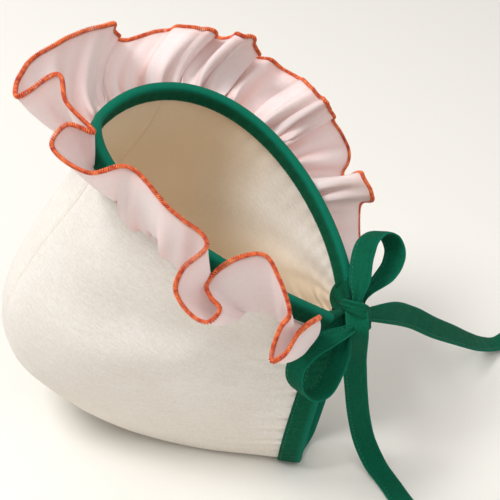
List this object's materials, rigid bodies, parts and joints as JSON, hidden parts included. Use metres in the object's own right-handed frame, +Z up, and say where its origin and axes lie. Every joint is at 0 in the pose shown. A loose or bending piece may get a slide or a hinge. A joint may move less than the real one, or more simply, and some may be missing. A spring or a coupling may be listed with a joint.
{
  "type": "baby sun bonnet",
  "caption": "Baby's cream cotton sun bonnet with a pale pink ruffle round the face edge, green bindings and ties in a bow, lying on its back.",
  "frame": {"origin": "on the surface that the bonnet lies on, under the middle of its bounding box", "axes": "+X from the crown to the nape, +Y from the near cheek to the far cheek, +Z up"},
  "size_m": [0.2346, 0.203, 0.2002],
  "materials": {
    "crown_cloth": "matte",
    "ruffle_cloth": "matte",
    "overlock_thread": "satin",
    "tie_cloth": "matte"
  },
  "bodies": {
    "root": {"crown_side_near": "crown_cloth", "crown_centre": "crown_cloth", "crown_side_far": "crown_cloth", "face_binding": "tie_cloth", "neck_binding": "tie_cloth", "ruffle": "ruffle_cloth", "ruffle_edge": "overlock_thread", "tie_lead_near": "tie_cloth", "tie_lead_far": "tie_cloth", "knot": "tie_cloth", "bow_loop_upper": "tie_cloth", "bow_loop_lower": "tie_cloth", "tail_right": "tie_cloth", "tail_front": "tie_cloth"}
  },
  "joints": []
}
